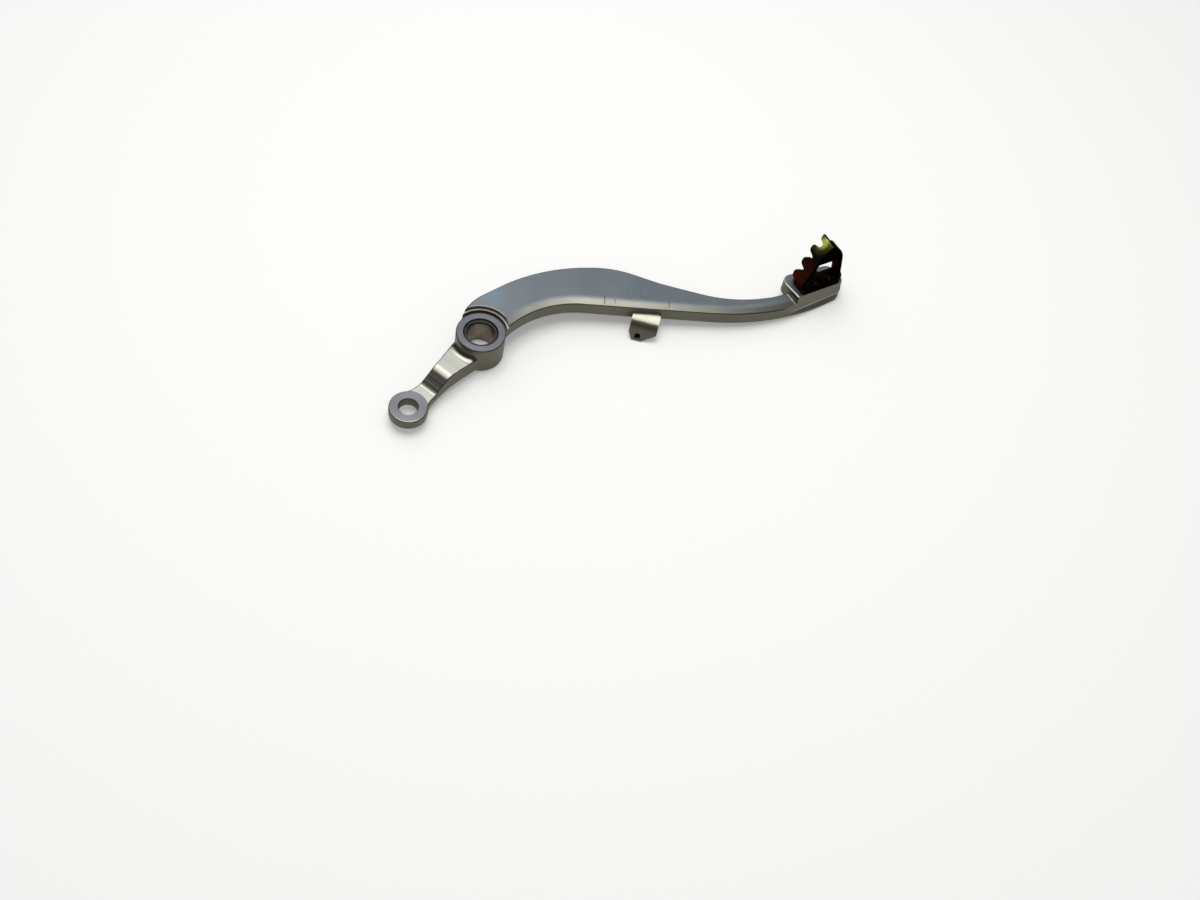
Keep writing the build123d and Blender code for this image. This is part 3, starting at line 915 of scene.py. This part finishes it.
@dataclass
class Studio:
    """Pale floor that the pedal lies on, with plain soft light."""

    contact: Point = (11.7 * MM, 4.9 * MM, -8.55 * MM)
    up: Point = (-0.054, -0.0266, 0.9982)
    floor_span: float = 6.0
    floor_tone: Colour = (0.86, 0.86, 0.86, 1.0)
    floor_glow: float = 0.225
    floor_roughness: float = 0.9
    window_way: Point = (-0.2, 0.55, 0.81)
    window_edge: float = 0.78
    window_core: float = 0.97
    window_tone: Colour = (0.94, 1.0, 1.06, 1.0)
    room_tone: Colour = (0.30, 0.30, 0.30, 1.0)
    lamp_place: Point = (-0.02, 0.10, 1.05)
    lamp_target: Point = (0.08, 0.0, 0.0)
    lamp_side: float = 0.68
    lamp_power: float = 6.0
    lamp_tint: Point = (1.0, 0.97, 0.91)

    def build(self) -> None:
        """Makes the floor, the lamp and the world."""
        self._floor()
        self._world()
        Lamp("overhead_softbox", self.lamp_place, self.lamp_target, self.lamp_side, self.lamp_side,
             self.lamp_power, self.lamp_tint).build()
        bpy.context.scene.view_settings.view_transform = "Standard"

    @staticmethod
    def _white_rays(sheet: NodeSheet) -> bpy.types.NodeSocket:
        """Mask of the rays that see plain white.

        Args:
            sheet: The sheet that gets the nodes.

        Returns:
            The mask's socket, 1 for those rays.
        """
        path = sheet.add("ShaderNodeLightPath")
        mask = path.outputs[Ray.CAMERA.value]
        for ray in (Ray.GLOSSY, Ray.TRANSMISSION):
            mask = sheet.maths("MAXIMUM", mask, path.outputs[ray.value])
        return mask

    def _floor(self) -> None:
        """Makes the flat pale floor under the three points that the pedal rests on."""
        turn = Vector(self.up).normalized().to_track_quat("Z", "X").to_matrix().to_4x4()
        form = bmesh.new()
        bmesh.ops.create_grid(form, x_segments=1, y_segments=1, size=self.floor_span / 2)
        seat = Matrix.Translation(Vector(self.contact)) @ turn
        bmesh.ops.transform(form, matrix=seat, verts=form.verts)
        mesh = bpy.data.meshes.new("floor")
        form.to_mesh(mesh)
        form.free()
        floor = bpy.data.objects.new("floor", mesh)
        bpy.context.collection.objects.link(floor)
        material = bpy.data.materials.new("pale_floor")
        material.use_nodes = True
        sheet = NodeSheet(material.node_tree)
        shader = material.node_tree.nodes["Principled BSDF"]
        shader.inputs["Base Color"].default_value = self.floor_tone
        shader.inputs["Roughness"].default_value = self.floor_roughness
        shader.inputs["Specular IOR Level"].default_value = 0.0
        shader.inputs["Emission Color"].default_value = (1.0, 1.0, 1.0, 1.0)
        glow = sheet.times(self._white_rays(sheet), self.floor_glow)
        sheet.feed(shader.inputs["Emission Strength"], glow)
        mesh.materials.append(material)

    def _world(self) -> None:
        """Makes a dim room with one broad soft window behind the pedal."""
        world = bpy.data.worlds.new("studio_sky")
        world.use_nodes = True
        sheet = NodeSheet(world.node_tree)
        background = world.node_tree.nodes["Background"]
        coords = sheet.add("ShaderNodeTexCoord")
        way = Vector(self.window_way).normalized()
        nearness = sheet.vector("DOT_PRODUCT", coords.outputs["Generated"], way, out="Value")
        window = sheet.ramp(nearness, self.window_edge, self.window_core)
        sheet.feed(background.inputs["Color"], sheet.blend(window, self.room_tone, self.window_tone))
        bpy.context.scene.world = world


class BentSolid:
    """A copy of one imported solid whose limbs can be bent, with the solid's own shading kept."""

    shading_name: str = "solid_normal"
    slice_step: float = 0.6 * MM
    merge_distance: float = 0.001 * MM
    cut_tolerance: float = 0.0005 * MM
    over_top: float = 0.5 * MM

    def __init__(self, node: str) -> None:
        """Copies the solid's mesh and its normals.

        Args:
            node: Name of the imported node.
        """
        self.node = node
        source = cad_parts[node].data
        self.form = bmesh.new()
        self.form.from_mesh(source)
        shading = self.form.loops.layers.float_vector.new(self.shading_name)
        corners = [corner.vector.copy() for corner in source.corner_normals]
        for face, polygon in zip(self.form.faces, source.polygons):
            for loop, index in zip(face.loops, polygon.loop_indices):
                loop[shading] = corners[index]
        bmesh.ops.remove_doubles(self.form, verts=self.form.verts, dist=self.merge_distance)

    def bend(self, start: Vector, way: Vector, half: float, low: float, high: float,
             lift: Callable[[float], float], span: Callable[[float], Span]) -> None:
        """Cuts crosswise edges into one limb, then lifts or lowers its top along its length.

        Args:
            start: Point that distances along the limb count from.
            way: Direction of the limb.
            half: Half the width of the limb.
            low: Distance at which the bend starts.
            high: Distance at which it ends.
            lift: The top's rise at a distance.
            span: Heights at a distance between which the lift grows from nothing to the whole.
        """
        side = Vector((-way.y, way.x, 0.0))
        count = round((high - low) / self.slice_step)
        for index in range(count + 1):
            reach = low + (high - low) * index / count
            faces = [face for face in self.form.faces
                     if any(low < (vert.co - start).dot(way) for vert in face.verts)
                     and all(abs((vert.co - start).dot(side)) < half for vert in face.verts)]
            edges = {edge for face in faces for edge in face.edges}
            verts = {vert for face in faces for vert in face.verts}
            bmesh.ops.bisect_plane(self.form, geom=[*verts, *edges, *faces], dist=self.cut_tolerance,
                                   plane_co=start + way * reach, plane_no=way)
        shading = self.form.loops.layers.float_vector[self.shading_name]
        step = 0.5 * self.slice_step
        for vert in self.form.verts:
            away = vert.co - start
            along = away.dot(way)
            if not low < along < high or abs(away.dot(side)) > half:
                continue
            under, top = span(along)
            if vert.co.z > top + self.over_top:
                continue
            share = min(max((vert.co.z - under) / (top - under), 0.0), 1.0)
            slope = share * (lift(along + step) - lift(along - step)) / (2.0 * step)
            vert.co.z += share * lift(along)
            for loop in vert.link_loops:
                normal = loop[shading]
                loop[shading] = (normal - way * (normal.z * slope)).normalized()

    def finish(self, name: str, material: bpy.types.Material) -> bpy.types.Object:
        """Makes the piece that stands for the node.

        Args:
            name: Name of the piece.
            material: Its finish.

        Returns:
            The piece.
        """
        mesh = bpy.data.meshes.new(name)
        self.form.to_mesh(mesh)
        self.form.free()
        corners = mesh.attributes[self.shading_name].data
        normals = [Vector(corner.vector).normalized() for corner in corners]
        for layer in (self.shading_name, "custom_normal"):
            if layer in mesh.attributes:
                mesh.attributes.remove(mesh.attributes[layer])
        mesh.shade_smooth()
        mesh.normals_split_custom_set(normals)
        mesh.materials.clear()
        mesh.materials.append(material)
        piece = bpy.data.objects.new(name, mesh)
        bpy.context.collection.objects.link(piece)
        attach(piece, "root")
        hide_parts(self.node)
        return piece


@dataclass
class ForgedArm:
    """The forged arm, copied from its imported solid, with a waved lever and a rolled lug."""

    boss_radius: float = 13.5 * MM
    boss_face: float = 8.5 * MM
    eye_centre: Point = (-40.30 * MM, -40.73 * MM, 0.0)
    eye_radius: float = 10.4 * MM
    eye_face: float = -2.5 * MM
    lever_way: Point = (-0.7034, -0.7108, 0.0)
    lever_high: float = 3.2 * MM
    lever_heel: float = -5.0 * MM
    lever_fall: float = 0.0611
    wave_start: float = 19.0 * MM
    wave_end: float = 43.6 * MM
    crest_at: float = 31.0 * MM
    crest_slope: float = 0.52
    crest_blend: float = 1.2 * MM
    foot_blend: float = 0.6 * MM
    facet: float = 0.3 * MM
    facets_near: int = 2
    lug_root: Point = (94.0 * MM, 14.2 * MM, 0.0)
    lug_way: Point = (-0.3256, -0.9455, 0.0)
    lug_half: float = 8.0 * MM
    lug_top: float = 6.5 * MM
    lug_shoulder: float = 1.7 * MM
    lug_from: float = -2.5 * MM
    lug_to: float = 9.4 * MM
    lug_tilt: float = 0.03
    lug_bend: float = 30.0
    lug_centre: Point = (92.4 * MM, 9.5 * MM, 5.5 * MM)
    lug_core: float = 8.5 * MM
    lug_reach: float = 10.0 * MM
    # Painted highlight: the lever's top from these distances, and the ring of the boss's ledge.
    highlight_from: float = 14.5 * MM
    highlight_full: float = 18.0 * MM
    ledge_radius: float = 14.95 * MM
    ledge_half: float = 0.6 * MM
    # Painted blue reflection on the face near the boss.
    blue_reflection_centre: Point = (7.5 * MM, 23.5 * MM, 11.5 * MM)
    blue_reflection_core: float = 2.0 * MM
    blue_reflection_reach: float = 11.0 * MM
    # Painted highlight on the bevel near the boss.
    bevel_highlight_centre: Point = (21.0 * MM, 11.5 * MM, 10.5 * MM)
    bevel_highlight_core: float = 4.0 * MM
    bevel_highlight_reach: float = 13.0 * MM
    # Painted shade on the edges grows between these two distances along the arm.
    lit_until: float = 75.0 * MM
    shaded_from: float = 150.0 * MM
    pad_from: float = 11.7 * MM
    pad_full: float = 13.0 * MM
    crease_level: float = 8.0 * MM
    crease_climb: float = 0.066
    crease_from: float = -23.0 * MM
    crease_full: float = -16.0 * MM

    def build(self, effects: SurfaceEffects) -> bpy.types.Object:
        """Makes the arm's mesh and dresses it.

        Args:
            effects: The shared node groups.

        Returns:
            The arm.
        """
        solid = BentSolid("pedal_arm")
        self._wave_lever(solid)
        self._roll_lug(solid)
        return solid.finish("forged_arm", ForgedAluminium(effects, self).material())

    @staticmethod
    def _soft_low(first: float, second: float, blend: float) -> float:
        """Lower of two heights, with their meeting rounded.

        Args:
            first: One height.
            second: The other height.
            blend: How far from the meeting the rounding starts.

        Returns:
            The rounded lower height.
        """
        share = min(max(0.5 + 0.5 * (second - first) / blend, 0.0), 1.0)
        return second + (first - second) * share - blend * share * (1.0 - share)

    def _wave_lever(self, solid: BentSolid) -> None:
        """Bends the lever's top into one wave from the boss down to the eye.

        Args:
            solid: The arm's solid.
        """
        way = Vector(self.lever_way)
        tree = BVHTree.FromBMesh(solid.form)
        down = Vector((0.0, 0.0, -1.0))
        above = Vector((0.0, 0.0, self.boss_face))
        near = range(-self.facets_near, self.facets_near + 1)

        def height(along: float) -> float:
            """Height of the solid's top at a distance from the pivot."""
            return tree.ray_cast(way * along + above, down)[0].z

        def top(along: float) -> float:
            """The same height, averaged over the facets near it."""
            return sum(height(along + index * self.facet) for index in near) / len(near)

        def wanted(along: float) -> float:
            """Height that the wave has there."""
            fall = self.lever_high - self.crest_slope * (along - self.crest_at)
            crest = self._soft_low(self.lever_high, fall, self.crest_blend)
            return -self._soft_low(-self.eye_face, -crest, self.foot_blend)

        def lift(along: float) -> float:
            """Rise of the top there."""
            return wanted(along) - top(along)

        def span(along: float) -> Span:
            """Heights of the lever's heel and top there."""
            return self.lever_heel - self.lever_fall * along, top(along)

        solid.bend(Vector(), way, 2.0 * self.boss_radius, self.wave_start, self.wave_end, lift, span)

    def _roll_lug(self, solid: BentSolid) -> None:
        """Lets the lug's top fall away from the blade in a curve before it rolls over.

        Args:
            solid: The arm's solid.
        """
        def lift(along: float) -> float:
            """Fall of the lug's top there."""
            reach = along - self.lug_from
            return -reach * (self.lug_tilt + self.lug_bend * reach)

        def span(along: float) -> Span:
            """Heights of the lug's shoulder and top, the same all along."""
            return self.lug_shoulder, self.lug_top

        root = Vector(self.lug_root)
        solid.bend(root, Vector(self.lug_way), self.lug_half, self.lug_from, self.lug_to, lift, span)


@dataclass
class StepPlate:
    """The toothed step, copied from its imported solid, with its nose rolled over forwards."""

    half: float = 20.0 * MM
    roll_from: float = -5.0 * MM
    crown_at: float = 2.3 * MM
    roll_to: float = 16.0 * MM
    roll_drop: float = 1.7 * MM
    still_below: float = 33.0 * MM
    whole_above: float = 46.5 * MM

    def build(self, material: bpy.types.Material) -> bpy.types.Object:
        """Makes the step.

        Args:
            material: The step's finish.

        Returns:
            The step.
        """
        def lift(along: float) -> float:
            """Fall of the nose there."""
            share = min(max((along - self.roll_from) / (self.crown_at - self.roll_from), 0.0), 1.0)
            return -self.roll_drop * share * share

        def span(along: float) -> Span:
            """Heights between which the fall grows to the whole, the same all along."""
            return self.still_below, self.whole_above

        solid = BentSolid("step_plate")
        foot = Vector(PAD_CENTRE)
        solid.bend(foot, Vector(PAD_WAY), self.half, self.roll_from, self.roll_to, lift, span)
        return solid.finish("toothed_step", material)


class Pedal:
    """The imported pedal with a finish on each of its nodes."""

    def dress(self) -> None:
        """Builds the arm and the step and puts a finish on every other node."""
        effects = SurfaceEffects()
        log.info("%s built", ForgedArm().build(effects).name)
        plated = PlatedSteel(effects).material()
        rubber = SealRubber(effects).material()
        log.info("%s built", StepPlate().build(plated).name)
        finishes = {
            "step_rivets": plated,
            "pivot_bush": TurnedBronze(effects).material(),
            "outer_seal": rubber,
            "inner_seal": rubber,
        }
        for name, material in finishes.items():
            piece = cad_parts[name]
            piece.material_slots[0].material = material
            log.info("%s dressed in %s", name, material.name)


def write_sizes() -> None:
    """Updates the view layer.
    """
    bpy.context.view_layer.update()


def main() -> None:
    """Builds the studio and dresses the pedal."""
    logging.basicConfig(level=logging.INFO)
    bpy.context.view_layer.update()
    PhotoCamera().build()
    Studio().build()
    Pedal().dress()
    write_sizes()


if __name__ == "__main__":
    main()
